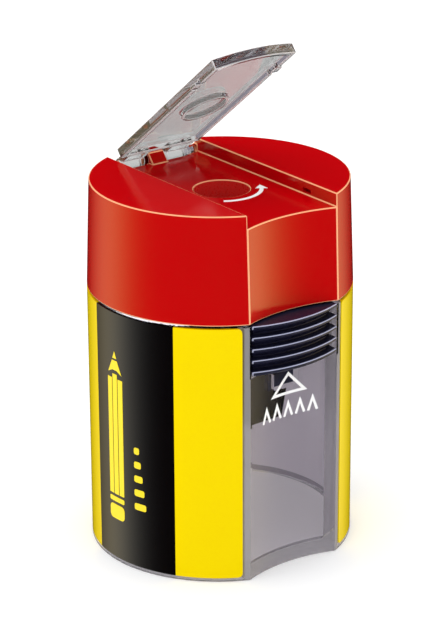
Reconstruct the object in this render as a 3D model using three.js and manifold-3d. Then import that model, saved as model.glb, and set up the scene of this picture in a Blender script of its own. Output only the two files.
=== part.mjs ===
// A tub pencil sharpener: a clear oval tub under a red cap, a wedge sharpener hanging in the
// tub, ribbed press grips on the front and back, and a clear lid over the pencil hole.
// Millimetres, +Z up. The origin is the middle of the base, and -Y is the front.
import * as THREE from 'three';
import { mergeVertices } from 'three/addons/utils/BufferGeometryUtils.js';
import Module from 'manifold-3d';

const wasm = await Module();
wasm.setup();

// ---- Driving sizes ----

// Overall shape
const height = 58.5;
const tubHalfX = 20.6;
const tubHalfY = 20.2;
const capDraft = 0.6; // how much the cap narrows to its top
const seamZ = 41.7; // lower edge of the cap
const gap = 0.3; // clearance between neighbouring pieces

// Hollow front and back faces
const faceHalf = 8.35; // half width of the faces and of the lid channel
const faceHollow = 1.5; // how deep the faces curve in

// Tub
const sideWall = 2.0;
const windowWall = 1.2;
const floorThickness = 1.6;
const spigotWall = 0.8;
const spigotHeight = 3.4; // how far the tub reaches into the cap

// Labels
const labelThickness = 0.25;
const labelInset = 1.05; // from the edge of the front face to the label
const labelBottom = 0.6;

// Cap
const capWall = 1.0;
const channelDepth = 2.1;
const roofThickness = 1.6;
const holeRadius = 4.3;
const holeY = -0.5;
const guideWall = 1.4;
const guideDraft = 0.12; // how much the guide narrows downwards
const pocketLength = 1.9; // snap pockets in the channel walls
const pocketHeight = 0.65;
const pocketDepth = 0.9;
const pocketLift = 0.35; // above the channel floor

// Hinge
const hingeBehindEdge = 1.27; // from the back edge of the channel floor to the axis
const hingeLift = 0.3; // axis above the channel floor
const pinRadius = 0.7;
const pinClearance = 0.3;
const hookHalf = 1.45;
const hookRise = 1.6;
const lugWidth = 1.6;
const lugRise = 1.1;
const lugReach = 0.4; // behind the hinge axis
const hingeRing = 1.1; // material round the pin bores

// Lid
const openAngle = THREE.MathUtils.degToRad(38.7);
const lidSideGap = 0.9;
const lidDepth = 1.6;
const lidPlate = 0.85;
const lidRim = 0.8;
const lidSink = 0.1; // top of the closed lid below the cap's top
const lidFrontSetback = 1.06; // lid corners behind the corners of the front face
const lipBulge = 1.4;
const lidRearSetback = 2.9; // from the hinge axis to the lid's back edge
const plugRadius = 3.9;
const plugWall = 0.5;
const plugHeight = 0.95;
const nubFromHinge = 28.37; // along the lid
const nubLength = 1.6;
const nubReach = 0.6;
const slitWidth = 0.5;
const armInner = 2.1;
const armOuter = 6.2;
const armRadius = 1.15;

// Press grips
const padHeight = 8.0;
const padHalf = 8.0;
const padCoreHalf = 7.1;
const ribCount = 5;
const ribPitch = 1.81;
const ribThickness = 0.75;
const ribDepth = 1.4;
const padBack = 3.0; // from the middle of the face to the back of the grip
const tongueThickness = 1.0;
const tongueHalf = 2.6;
const tongueDrop = 4.8; // below the grip
const hangerHalf = 6.0;
const catchHalf = 2.75; // catch window below the grip
const catchHeight = 2.6;
const catchStrip = 1.1; // wall left between the catch window and the grip notch

// Sharpener and its carrier
const carrierPlate = 1.6;
const socketWall = 1.2;
const socketDepth = 8.8;
const wedgeLength = 25.5;
const wedgeHalf = 7.7;
const wedgeTipHalf = 6.7;
const wedgeTaperLength = 4.7;
const wedgeBack = 6.0; // from the pencil axis to the flat side
const throatRadius = 4.2;
const pointAngle = THREE.MathUtils.degToRad(11.5); // half the angle of the pencil's cone
const slotBite = 0.6; // how far the blade seat cuts into the cone
const coneLength = 19.5;
const bladeLength = 23.0;
const bladeWidth = 8.0;
const bladeThickness = 0.6;
const bladeOverlap = 0.4; // how far the cutting edge passes the pencil axis
const bladeDrop = 0.9; // top of the blade below the top of the wedge
const screwHeadRadius = 2.5;
const screwHeadHeight = 1.2;
const screwRadius = 1.2;
const screwLength = 4.0;

// ---- Sizes worked out from them ----

const capTopHalfX = tubHalfX - capDraft;
const capTopHalfY = tubHalfY - capDraft;
const cornerY = ovalY(tubHalfX, tubHalfY);
const topCornerY = ovalY(capTopHalfX, capTopHalfY);
const faceRadius = (faceHalf ** 2 + faceHollow ** 2) / (2 * faceHollow);
const channelZ = height - channelDepth;
const roofZ = channelZ - roofThickness;
const shoulderZ = seamZ - gap;
const spigotTop = shoulderZ + spigotHeight;
const plateZ = spigotTop + gap;
const plateTop = plateZ + carrierPlate;
const padTop = shoulderZ;
const padBottom = padTop - padHeight;
const notchZ = padBottom - gap;
const catchTop = notchZ - catchStrip;
const faceY = cornerY - faceHollow;
const hingeY = cornerYAt(channelZ) - faceHollow + hingeBehindEdge;
const hingeZ = channelZ + hingeLift;
const boreRadius = pinRadius + pinClearance;
const lidHalf = faceHalf - lidSideGap;
const lidTop = height - lidSink - hingeZ;
const lidFront = -topCornerY + lidFrontSetback - hingeY;
const nubY = -nubFromHinge;
const wedgeTop = plateZ - gap;
const wedgeBottom = wedgeTop - wedgeLength;

// ---- Basic shapes and booleans ----

function ovalY(a, b) {
  return b * Math.sqrt(1 - (faceHalf / a) ** 2);
}

function capShare(z) {
  return (z - seamZ) / (height - seamZ);
}

function cornerYAt(z) {
  return THREE.MathUtils.lerp(cornerY, topCornerY, capShare(z));
}

function solid(geometry) {
  const bare = geometry.index ? geometry.toNonIndexed() : geometry;
  bare.deleteAttribute('normal');
  bare.deleteAttribute('uv');
  const merged = mergeVertices(bare, 1e-4);
  const vertProperties = new Float32Array(merged.attributes.position.array);
  const triVerts = new Uint32Array(merged.index.array);
  return new wasm.Manifold(new wasm.Mesh({ numProp: 3, vertProperties, triVerts }));
}

function join(first, ...others) {
  return others.reduce((sum, other) => sum.add(other), first);
}

function cut(body, ...tools) {
  return tools.reduce((rest, tool) => rest.subtract(tool), body);
}

function piece(name, body, material) {
  const { vertProperties, triVerts } = body.getMesh();
  const geometry = new THREE.BufferGeometry();
  geometry.setAttribute('position', new THREE.BufferAttribute(vertProperties, 3));
  geometry.setIndex(new THREE.BufferAttribute(triVerts, 1));
  geometry.computeVertexNormals();
  const mesh = new THREE.Mesh(geometry, material);
  mesh.name = name;
  return mesh;
}

// A box given by its lowest and highest corner.
function block(low, high) {
  const size = high.map((value, axis) => value - low[axis]);
  const middle = high.map((value, axis) => (value + low[axis]) / 2);
  return solid(new THREE.BoxGeometry(...size).translate(...middle));
}

// A box that is mirrored over both sides of the plane X = 0.
function wideBlock(half, lowY, highY, lowZ, highZ) {
  return block([-half, lowY, lowZ], [half, highY, highZ]);
}

function upright(radiusLow, radiusHigh, y, lowZ, highZ, segments = 40) {
  const geometry = new THREE.CylinderGeometry(radiusHigh, radiusLow, highZ - lowZ, segments);
  geometry.rotateX(Math.PI / 2);
  return solid(geometry.translate(0, y, (lowZ + highZ) / 2));
}

function crossBar(radius, half, y, z, segments = 24) {
  const geometry = new THREE.CylinderGeometry(radius, radius, 2 * half, segments);
  geometry.rotateZ(Math.PI / 2);
  return solid(geometry.translate(0, y, z));
}

// An upright oval column that may narrow towards the top.
function column(lowHalves, highHalves, lowZ, highZ) {
  const outline = new THREE.Shape();
  outline.absellipse(0, 0, lowHalves[0], lowHalves[1], 0, 2 * Math.PI);
  const depth = highZ - lowZ;
  const geometry = new THREE.ExtrudeGeometry(outline, { depth, curveSegments: 72, bevelEnabled: false });
  const position = geometry.attributes.position;
  for (let i = 0; i < position.count; i += 1) {
    const high = position.getZ(i) > depth / 2;
    position.setX(i, position.getX(i) * (high ? highHalves[0] / lowHalves[0] : 1));
    position.setY(i, position.getY(i) * (high ? highHalves[1] / lowHalves[1] : 1));
  }
  return solid(geometry.translate(0, 0, lowZ));
}

function tubColumn(inset, lowZ, highZ) {
  const halves = [tubHalfX - inset, tubHalfY - inset];
  return column(halves, halves, lowZ, highZ);
}

function capColumn(inset, lowZ, highZ) {
  const halvesAt = (z) => [
    THREE.MathUtils.lerp(tubHalfX, capTopHalfX, capShare(z)) - inset,
    THREE.MathUtils.lerp(tubHalfY, capTopHalfY, capShare(z)) - inset,
  ];
  return column(halvesAt(lowZ), halvesAt(highZ), lowZ, highZ);
}

// What lies in front of the hollow front face (or behind the back face), moved inwards by
// inset. lowCorner and highCorner are the face's corner distances at its two ends.
function faceSpace(side, inset, lowZ, highZ, lowCorner = cornerY, highCorner = cornerY) {
  const radius = faceRadius + inset;
  const middleOf = (corner) => side * (corner - faceHollow + faceRadius);
  const geometry = new THREE.CylinderGeometry(radius, radius, highZ - lowZ, 120);
  geometry.rotateX(Math.PI / 2);
  const position = geometry.attributes.position;
  for (let i = 0; i < position.count; i += 1) {
    const corner = position.getZ(i) > 0 ? highCorner : lowCorner;
    position.setY(i, position.getY(i) + middleOf(corner));
  }
  return solid(geometry.translate(0, 0, (lowZ + highZ) / 2));
}

function capFaceSpaces(inset, lowZ, highZ) {
  return [-1, 1].map((side) => faceSpace(side, inset, lowZ, highZ, cornerYAt(lowZ), cornerYAt(highZ)));
}

// A profile in the YZ plane, pushed out along X from -half to half.
function slab(outline, half) {
  const geometry = new THREE.ExtrudeGeometry(outline, { depth: 2 * half, bevelEnabled: false });
  geometry.rotateY(Math.PI / 2);
  geometry.rotateX(Math.PI / 2);
  return solid(geometry.translate(-half, 0, 0));
}

// ---- Materials ----

const clearSmoke = new THREE.MeshStandardMaterial({
  color: 0x8c8890, roughness: 0.08, metalness: 0, transparent: true, opacity: 0.45,
});
const redPlastic = new THREE.MeshStandardMaterial({ color: 0xc2000a, roughness: 0.38, metalness: 0 });
const navyPlastic = new THREE.MeshStandardMaterial({ color: 0x17152a, roughness: 0.4, metalness: 0 });
const blackMetal = new THREE.MeshStandardMaterial({ color: 0x1b1a1e, roughness: 0.45, metalness: 0.3 });
const steel = new THREE.MeshStandardMaterial({ color: 0xb9bcc0, roughness: 0.3, metalness: 1 });
const labelPrint = new THREE.MeshStandardMaterial({ color: 0xf6d20a, roughness: 0.35, metalness: 0 });

// ---- Tub and labels ----

function container() {
  const outside = join(
    tubColumn(0, 0, shoulderZ),
    cut(
      tubColumn(capWall + gap, shoulderZ - 1, spigotTop),
      faceSpace(-1, capWall + gap, shoulderZ, spigotTop + 1),
      faceSpace(1, capWall + gap, shoulderZ, spigotTop + 1),
    ),
  );
  const room = cut(
    tubColumn(sideWall, floorThickness, spigotTop + 1),
    faceSpace(-1, windowWall, 0, spigotTop + 2),
    faceSpace(1, windowWall, 0, spigotTop + 2),
  );
  const rimRoom = tubColumn(capWall + gap + spigotWall, shoulderZ - 1, spigotTop + 1);
  const openings = [-1, 1].flatMap((side) => {
    const [near, far] = side < 0 ? [-tubHalfY - 1, -faceY + 5] : [faceY - 5, tubHalfY + 1];
    return [
      wideBlock(padHalf + gap, near, far, notchZ, spigotTop + 1),
      wideBlock(catchHalf, near, far, catchTop - catchHeight, catchTop),
    ];
  });
  const labelSeat = cut(
    tubColumn(-1, labelBottom - gap, shoulderZ + 1),
    tubColumn(labelThickness + gap, labelBottom - gap - 1, shoulderZ + 2),
    wideBlock(faceHalf + labelInset - gap, -tubHalfY - 2, tubHalfY + 2, -1, shoulderZ + 3),
  );
  return cut(
    outside,
    faceSpace(-1, 0, -1, spigotTop + 1),
    faceSpace(1, 0, -1, spigotTop + 1),
    room,
    rimRoom,
    ...openings,
    labelSeat,
  );
}

function label(side) {
  const labelTop = shoulderZ - 0.2;
  const [near, far] = side < 0 ? [-tubHalfX - 1, 0] : [0, tubHalfX + 1];
  return cut(
    tubColumn(0, labelBottom, labelTop),
    tubColumn(labelThickness, labelBottom - 1, labelTop + 1),
    wideBlock(faceHalf + labelInset, -tubHalfY - 1, tubHalfY + 1, 0, labelTop + 1),
    block([-far - 1e-3, -tubHalfY - 1, 0], [-near, tubHalfY + 1, labelTop + 1]),
  );
}

// ---- Cap ----

function snapPockets() {
  const y = hingeY + nubY;
  const z = channelZ + pocketLift;
  return wideBlock(
    faceHalf + pocketDepth, y - pocketLength / 2, y + pocketLength / 2, z, z + pocketHeight,
  );
}

function hingeHook() {
  const outline = new THREE.Shape();
  const back = hingeY + boreRadius + hingeRing * 0.4;
  outline.moveTo(hingeY - 2.36, channelZ);
  outline.lineTo(hingeY - 1.03, channelZ + hookRise);
  outline.lineTo(back, channelZ + hookRise);
  outline.lineTo(back, hingeZ - boreRadius - hingeRing * 0.5);
  outline.lineTo(hingeY - hingeBehindEdge - capWall, hingeZ - boreRadius - hingeRing * 0.5);
  outline.lineTo(hingeY - hingeBehindEdge - capWall, channelZ);
  return slab(outline, hookHalf);
}

function hingeLugs() {
  const low = hingeZ - boreRadius - hingeRing * 0.5;
  const bar = wideBlock(faceHalf + 0.5, hingeY - 0.6, hingeY + lugReach, low, channelZ + lugRise);
  const middle = wideBlock(faceHalf - lugWidth, hingeY - 1, tubHalfY + 1, low - 1, height + 1);
  return cut(bar, middle).intersect(capColumn(0, seamZ, height));
}

function cap() {
  const shell = cut(
    capColumn(0, seamZ, height),
    ...capFaceSpaces(0, seamZ - 1, height + 1),
    wideBlock(faceHalf, -tubHalfY - 1, tubHalfY + 1, channelZ, height + 1),
    cut(capColumn(capWall, seamZ - 1, roofZ), ...capFaceSpaces(capWall, seamZ - 2, roofZ + 1)),
    snapPockets(),
  );
  const reliefRadius = armRadius + gap;
  const relief = cut(
    crossBar(reliefRadius, armOuter + gap, hingeY, hingeZ),
    crossBar(reliefRadius + 1, armInner - gap, hingeY, hingeZ),
  );
  const guide = upright(holeRadius + guideWall, holeRadius + guideWall, holeY, plateTop + gap, roofZ + 0.5);
  const bore = upright(holeRadius - guideDraft, holeRadius, holeY, plateTop, channelZ + 1);
  const pinBore = crossBar(boreRadius, faceHalf - 0.4, hingeY, hingeZ);
  return cut(join(cut(shell, relief), guide, hingeHook(), hingeLugs()), bore, pinBore);
}

// ---- Lid, drawn closed with the hinge axis as its origin ----

function lidOutline(inset) {
  const half = lidHalf - inset;
  const front = lidFront + inset;
  const outline = new THREE.Shape();
  outline.moveTo(half, -lidRearSetback - inset);
  outline.lineTo(-half, -lidRearSetback - inset);
  outline.lineTo(-half, front);
  outline.quadraticCurveTo(0, front - 2 * lipBulge, half, front);
  return outline;
}

function lidPrism(inset, lowZ, highZ) {
  const settings = { depth: highZ - lowZ, curveSegments: 16, bevelEnabled: false };
  return solid(new THREE.ExtrudeGeometry(lidOutline(inset), settings).translate(0, 0, lowZ));
}

function lidPlug() {
  const low = lidTop - lidPlate - plugHeight;
  const high = lidTop - lidPlate / 2;
  const y = holeY - hingeY;
  const tube = upright(plugRadius, plugRadius, y, low, high);
  return cut(tube, upright(plugRadius - plugWall, plugRadius - plugWall, y, low - 1, high + 1));
}

function lidArms() {
  const low = channelZ + pinClearance - hingeZ;
  const both = join(
    wideBlock(armOuter, -lidRearSetback - lidRim / 2, 0, low, low + 1.1),
    crossBar(armRadius, armOuter, 0, 0),
  );
  const middle = wideBlock(armInner, -lidRearSetback, armRadius + 1, -armRadius - 1, armRadius + 1);
  return cut(both, middle);
}

function lid() {
  const low = lidTop - lidDepth;
  const under = lidTop - lidPlate;
  const tray = cut(lidPrism(0, low, lidTop), lidPrism(lidRim, low - 1, under));
  const nubs = wideBlock(
    lidHalf + nubReach, nubY - nubLength / 2, nubY + nubLength / 2, low, low + pocketHeight - 0.1,
  );
  const sideNubs = cut(nubs, wideBlock(lidHalf - lidRim, nubY - 2, nubY + 2, low - 1, under));
  const slits = [-1, 1].map((end) => {
    const y = nubY + end * (nubLength / 2 + slitWidth / 2);
    return wideBlock(lidHalf + 1, y - slitWidth / 2, y + slitWidth / 2, low - 1, under);
  });
  const bar = crossBar(pinRadius, faceHalf - 0.4 - pinClearance, 0, 0);
  return join(cut(tray, ...slits), sideNubs, lidPlug(), lidArms(), bar);
}

// ---- Press grips ----

function pressGrip() {
  const back = -(faceY - padBack);
  const core = cut(
    tubColumn(ribDepth, padBottom, padTop),
    wideBlock(tubHalfX, back, tubHalfY, padBottom - 1, padTop + 1),
  ).intersect(wideBlock(padCoreHalf, -tubHalfY, back, padBottom, padTop));
  const ribs = [];
  for (let i = 0; i < ribCount; i += 1) {
    const top = padTop - i * ribPitch;
    const depthLimit = wideBlock(padHalf, -tubHalfY - 1, back - 1, top - ribThickness, top);
    ribs.push(tubColumn(0, top - ribThickness, top).intersect(depthLimit));
  }
  const front = back - tongueThickness;
  const tongue = wideBlock(tongueHalf, front, back, padBottom - tongueDrop, padBottom + 1);
  const hanger = wideBlock(hangerHalf, front, back, padTop - 1, plateZ - gap);
  return join(core, ...ribs, tongue, hanger);
}

// ---- Sharpener, its carrier, blade and screw ----

function carrier() {
  const plate = cut(
    capColumn(capWall + gap, plateZ, plateTop),
    ...capFaceSpaces(capWall + gap, plateZ - 1, plateTop + 1),
  );
  const inside = [wedgeHalf + gap, wedgeBack + gap, throatRadius + bladeThickness + 1.8];
  const lowZ = plateZ - socketDepth;
  const socket = wideBlock(
    inside[0] + socketWall, holeY - inside[1] - socketWall, holeY + inside[2] + socketWall,
    lowZ, plateZ + 0.5,
  );
  const room = wideBlock(inside[0], holeY - inside[1], holeY + inside[2], lowZ - 1, plateZ);
  const hole = upright(holeRadius + 0.4, holeRadius + 0.4, holeY, plateZ - 1, plateTop + 1);
  return cut(join(plate, cut(socket, room)), hole);
}

// The plane of the blade's seat leans with the pencil's cone: its distance from the pencil
// axis at a height z.
function seatDistance(z) {
  return throatRadius - slotBite - (wedgeTop - z) * Math.tan(pointAngle);
}

function sharpenerBody() {
  const outline = new THREE.Shape();
  outline.moveTo(-wedgeHalf, wedgeTop);
  outline.lineTo(-wedgeHalf, wedgeBottom + wedgeTaperLength);
  outline.lineTo(-wedgeTipHalf, wedgeBottom);
  outline.lineTo(wedgeTipHalf, wedgeBottom);
  outline.lineTo(wedgeHalf, wedgeBottom + wedgeTaperLength);
  outline.lineTo(wedgeHalf, wedgeTop);
  const depth = 2 * wedgeBack;
  const front = new THREE.ExtrudeGeometry(outline, { depth, bevelEnabled: false });
  front.rotateX(Math.PI / 2);
  const blank = solid(front.translate(0, holeY + wedgeBack, 0));
  const seat = new THREE.BoxGeometry(4 * wedgeHalf, 20, 2 * wedgeLength);
  seat.translate(0, 10, 0);
  seat.rotateX(-pointAngle);
  seat.translate(0, holeY + seatDistance(wedgeTop), wedgeTop);
  const cone = upright(
    throatRadius - coneLength * Math.tan(pointAngle), throatRadius, holeY, wedgeTop - coneLength, wedgeTop,
  );
  const mouth = upright(throatRadius, throatRadius, holeY, wedgeTop - 1e-3, wedgeTop + 1);
  return cut(blank, solid(seat), cone, mouth, screwHole(screwRadius + gap, screwLength + 1));
}

// Places a solid drawn on the blade's seat: local +Y points away from the seat, local +Z up
// the slope, and the local origin is the top of the seat on the pencil axis.
function onSeat(geometry, lift) {
  geometry.translate(0, lift, 0);
  geometry.rotateX(-pointAngle);
  geometry.translate(0, holeY + seatDistance(wedgeTop), wedgeTop);
  return solid(geometry);
}

function screwHole(radius, length) {
  const hole = new THREE.CylinderGeometry(radius, radius, length + 2, 24);
  hole.translate(bladeWidth / 2 - bladeOverlap, 1 - length / 2, -bladeDrop - bladeLength / 2);
  return onSeat(hole, 0);
}

function blade() {
  const strip = new THREE.BoxGeometry(bladeWidth, bladeThickness, bladeLength);
  const x = bladeWidth / 2 - bladeOverlap;
  strip.translate(x, bladeThickness / 2, -bladeDrop - bladeLength / 2);
  return cut(onSeat(strip, gap), screwHole(screwRadius + gap, screwLength));
}

function bladeScrew() {
  const profile = [
    [0, -screwLength], [screwRadius, -screwLength + 0.4], [screwRadius, 2 * gap + bladeThickness],
    [screwHeadRadius, 2 * gap + bladeThickness],
    [screwHeadRadius, 2 * gap + bladeThickness + screwHeadHeight * 0.6],
    [screwHeadRadius * 0.7, 2 * gap + bladeThickness + screwHeadHeight],
    [0, 2 * gap + bladeThickness + screwHeadHeight],
  ].map(([radius, along]) => new THREE.Vector2(radius, along));
  const turned = new THREE.LatheGeometry(profile, 28);
  turned.translate(bladeWidth / 2 - bladeOverlap, 0, -bladeDrop - bladeLength / 2);
  const slot = new THREE.BoxGeometry(2 * screwHeadRadius + 1, 0.8, 0.7);
  const top = 2 * gap + bladeThickness + screwHeadHeight;
  slot.translate(bladeWidth / 2 - bladeOverlap, top, -bladeDrop - bladeLength / 2);
  return cut(onSeat(turned, 0), onSeat(slot, 0));
}

// ---- Assembly ----

const base = new THREE.Group();
base.add(
  piece('container', container(), clearSmoke),
  piece('label_left', label(-1), labelPrint),
  piece('label_right', label(1), labelPrint),
);

const gripFront = piece('press_grip_front', pressGrip(), navyPlastic);
const gripBack = piece('press_grip_back', pressGrip(), navyPlastic);
gripBack.rotation.z = Math.PI;

const head = new THREE.Group();
head.add(
  piece('cap', cap(), redPlastic),
  piece('sharpener_carrier', carrier(), navyPlastic),
  piece('sharpener_body', sharpenerBody(), blackMetal),
  piece('blade', blade(), steel),
  piece('blade_screw', bladeScrew(), steel),
  gripFront,
  gripBack,
);

const lidMesh = piece('lid', lid(), clearSmoke);
lidMesh.position.set(0, hingeY, hingeZ);
lidMesh.rotation.x = -openAngle;
head.add(lidMesh);

const pencilSharpener = new THREE.Group();
pencilSharpener.add(base, head);

export default pencilSharpener;
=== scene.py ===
import math

import bmesh
import bpy
from mathutils import Matrix, Vector


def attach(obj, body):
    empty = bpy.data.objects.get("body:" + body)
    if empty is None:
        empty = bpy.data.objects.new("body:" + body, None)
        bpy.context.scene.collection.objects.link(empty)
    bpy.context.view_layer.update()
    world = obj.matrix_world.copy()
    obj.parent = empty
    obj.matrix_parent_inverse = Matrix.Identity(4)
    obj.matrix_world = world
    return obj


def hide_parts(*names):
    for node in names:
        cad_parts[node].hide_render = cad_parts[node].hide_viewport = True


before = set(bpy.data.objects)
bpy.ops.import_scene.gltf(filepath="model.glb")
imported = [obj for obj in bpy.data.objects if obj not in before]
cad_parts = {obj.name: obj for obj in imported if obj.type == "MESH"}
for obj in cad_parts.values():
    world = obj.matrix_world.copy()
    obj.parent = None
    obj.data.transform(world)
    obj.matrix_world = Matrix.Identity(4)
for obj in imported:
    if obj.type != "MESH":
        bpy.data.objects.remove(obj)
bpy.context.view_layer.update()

# A tub pencil sharpener: clear oval tub, red cap with a hinged clear lid, wedge sharpener,
# ribbed press grips, yellow and black labels. Shapes are drawn in millimetres and are scaled
# to metres when they are finished. -Y is the front.

MM = 0.001

# ---- Sizes, in millimetres ----

HEIGHT = 58.5
TUB_HALF_X, TUB_HALF_Y = 20.6, 20.2
CAP_DRAFT = 0.6
SEAM_Z = 41.7
GAP = 0.3
SHOULDER_Z = SEAM_Z - GAP

FACE_HALF = 8.35
FACE_HOLLOW = 1.5
FACE_RADIUS = (FACE_HALF ** 2 + FACE_HOLLOW ** 2) / (2 * FACE_HOLLOW)

CHANNEL_Z = HEIGHT - 2.1
ROOF_Z = CHANNEL_Z - 1.6
CAP_WALL = 1.0
HOLE_RADIUS = 4.3
HOLE_Y = -0.5

SPIGOT_TOP = SHOULDER_Z + 3.4
PLATE_Z = SPIGOT_TOP + GAP
PLATE_TOP = PLATE_Z + 1.6
WEDGE_TOP = PLATE_Z - GAP

GRIP_TOP = SHOULDER_Z
GRIP_BOTTOM = GRIP_TOP - 8.0
NOTCH_Z = GRIP_BOTTOM - GAP
CATCH_TOP = NOTCH_Z - 1.1
CATCH_BOTTOM = CATCH_TOP - 2.6
CATCH_HALF = 2.75

OPEN_ANGLE = math.radians(38.7)
HINGE_RADIUS = 0.7
BORE_RADIUS = 1.0


def half_chord(half_x, half_y):
    return half_y * math.sqrt(1 - (FACE_HALF / half_x) ** 2)


CORNER_Y = half_chord(TUB_HALF_X, TUB_HALF_Y)
TOP_CORNER_Y = half_chord(TUB_HALF_X - CAP_DRAFT, TUB_HALF_Y - CAP_DRAFT)
FACE_Y = CORNER_Y - FACE_HOLLOW


def cap_share(z):
    return (z - SEAM_Z) / (HEIGHT - SEAM_Z)


HINGE_Y = CORNER_Y + (TOP_CORNER_Y - CORNER_Y) * cap_share(CHANNEL_Z) - FACE_HOLLOW + 1.27
HINGE_Z = CHANNEL_Z + 0.3
NUB_Y = -28.37

# ---- Mesh tools ----

SIDE_STEPS, FACE_STEPS = 52, 20
OVAL_STEPS, BAR_STEPS = 144, 32
MERGE = 0.004


def mesh_object(bm, name):
    mesh = bpy.data.meshes.new(name)
    bm.to_mesh(mesh)
    bm.free()
    obj = bpy.data.objects.new(name, mesh)
    bpy.context.scene.collection.objects.link(obj)
    return obj


def piece_from(bm, name):
    bmesh.ops.remove_doubles(bm, verts=bm.verts, dist=1e-4)
    bmesh.ops.dissolve_degenerate(bm, edges=bm.edges, dist=1e-5)
    bmesh.ops.recalc_face_normals(bm, faces=bm.faces)
    return mesh_object(bm, name)


def loft(rings, name="loft"):
    """A closed solid through rings of the same number of points."""
    bm = bmesh.new()
    rows = [[bm.verts.new(point) for point in ring] for ring in rings]
    count = len(rows[0])
    for low, high in zip(rows, rows[1:]):
        for i in range(count):
            j = (i + 1) % count
            bm.faces.new((low[i], low[j], high[j], high[i]))
    bm.faces.new(rows[0][::-1])
    bm.faces.new(rows[-1])
    return piece_from(bm, name)


def at_height(outline, z):
    return [(x, y, z) for x, y in outline]


def full_turn(steps):
    return [2 * math.pi * i / steps for i in range(steps)]


def oval_sides_and_faces(half_x, half_y, side_inset, face_inset):
    """The body's outline at one height: oval sides, and hollow faces in front and behind."""
    centre = half_chord(half_x, half_y) - FACE_HOLLOW + FACE_RADIUS
    a, b, radius = half_x - side_inset, half_y - side_inset, FACE_RADIUS + face_inset
    low, high = 0.0, a
    for _ in range(50):
        x = (low + high) / 2
        outside = b * math.sqrt(1 - (x / a) ** 2) > centre - math.sqrt(radius ** 2 - x ** 2)
        low, high = (x, high) if outside else (low, x)
    swing = math.atan2(math.sqrt(1 - (x / a) ** 2), x / a)
    bend = math.asin(x / radius)
    outline = []
    for turn in (0, 1):
        sign = -1 if turn else 1
        for i in range(SIDE_STEPS):
            t = -swing + 2 * swing * i / SIDE_STEPS
            outline.append((sign * a * math.cos(t), sign * b * math.sin(t)))
        for i in range(FACE_STEPS):
            s = bend - 2 * bend * i / FACE_STEPS
            outline.append((sign * radius * math.sin(s), sign * (centre - radius * math.cos(s))))
    return outline


def body_column(levels, cap=False):
    """levels: (z, side inset, face inset)."""
    rings = []
    for z, side_inset, face_inset in levels:
        draft = CAP_DRAFT * cap_share(z) if cap else 0.0
        outline = oval_sides_and_faces(TUB_HALF_X - draft, TUB_HALF_Y - draft, side_inset, face_inset)
        rings.append(at_height(outline, z))
    return loft(rings)


def cap_oval_column(inset, low_z, high_z):
    rings = []
    for z in (low_z, high_z):
        draft = CAP_DRAFT * cap_share(z)
        a, b = TUB_HALF_X - draft - inset, TUB_HALF_Y - draft - inset
        rings.append([(a * math.cos(t), b * math.sin(t), z) for t in full_turn(OVAL_STEPS)])
    return loft(rings)


def block(low, high):
    (x0, y0, z0), (x1, y1, z1) = low, high
    outline = [(x0, y0), (x1, y0), (x1, y1), (x0, y1)]
    return loft([at_height(outline, z0), at_height(outline, z1)])


def wide_block(half, low_y, high_y, low_z, high_z):
    return block((-half, low_y, low_z), (half, high_y, high_z))


def span(side, near, far):
    """The stretch from near to far on the +X side, or its mirror image, lowest first."""
    return sorted((side * near, side * far))


def turned(profile, y=0.0, steps=64):
    """A lathed solid. profile: (radius, z) from bottom to top."""
    turns = full_turn(steps)
    return loft([[(r * math.cos(t), y + r * math.sin(t), z) for t in turns] for r, z in profile])


def cross_bar(radius, low_x, high_x, y, z):
    turns = full_turn(BAR_STEPS)
    return loft([
        [(x, y + radius * math.cos(t), z + radius * math.sin(t)) for t in turns] for x in (low_x, high_x)
    ])


def slab(profile, low_x, high_x):
    """A profile of (y, z) points pushed along X."""
    return loft([[(x, y, z) for y, z in profile] for x in (low_x, high_x)])


def settle(obj):
    """Makes the modifiers part of the mesh."""
    bpy.context.view_layer.update()
    shown = obj.evaluated_get(bpy.context.evaluated_depsgraph_get())
    mesh = bpy.data.meshes.new_from_object(shown)
    old = obj.data
    obj.modifiers.clear()
    obj.data = mesh
    bpy.data.meshes.remove(old)
    return obj


def combine(obj, tools, operation):
    for tool in tools:
        step = obj.modifiers.new("step", "BOOLEAN")
        step.object = tool
        step.operation = operation
        step.solver = "EXACT"
    settle(obj)
    for tool in tools:
        mesh = tool.data
        bpy.data.objects.remove(tool)
        bpy.data.meshes.remove(mesh)
    return obj


def cut(obj, *tools):
    return combine(obj, tools, "DIFFERENCE")


def join(obj, *tools):
    return combine(obj, tools, "UNION")


def keep_inside(obj, *tools):
    return combine(obj, tools, "INTERSECT")


def tidy_faces(obj):
    bm = bmesh.new()
    bm.from_mesh(obj.data)
    bmesh.ops.remove_doubles(bm, verts=bm.verts, dist=MERGE)
    bmesh.ops.dissolve_limit(
        bm, angle_limit=math.radians(0.35), verts=bm.verts, edges=bm.edges, use_dissolve_boundaries=False,
    )
    bmesh.ops.dissolve_degenerate(bm, edges=bm.edges, dist=MERGE)
    bm.to_mesh(obj.data)
    bm.free()
    return obj


def split_narrow_faces(obj):
    """Cuts long curved ledges into short faces, which fill cleanly with triangles."""
    most_corners, widest, offset = 12, 30, 0.31
    bm = bmesh.new()
    bm.from_mesh(obj.data)
    for y in range(-15, 16, 3):
        level = [face for face in bm.faces if abs(face.normal.z) > 0.99]
        ledges = [face for face in level if len(face.verts) > most_corners and face.calc_area() < widest]
        parts = set(ledges)
        for face in ledges:
            parts.update(face.edges)
            parts.update(face.verts)
        place = (0, y + offset, 0)
        bmesh.ops.bisect_plane(bm, geom=list(parts), plane_co=place, plane_no=(0, 1, 0), dist=1e-5)
    bm.to_mesh(obj.data)
    bm.free()
    return obj


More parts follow.
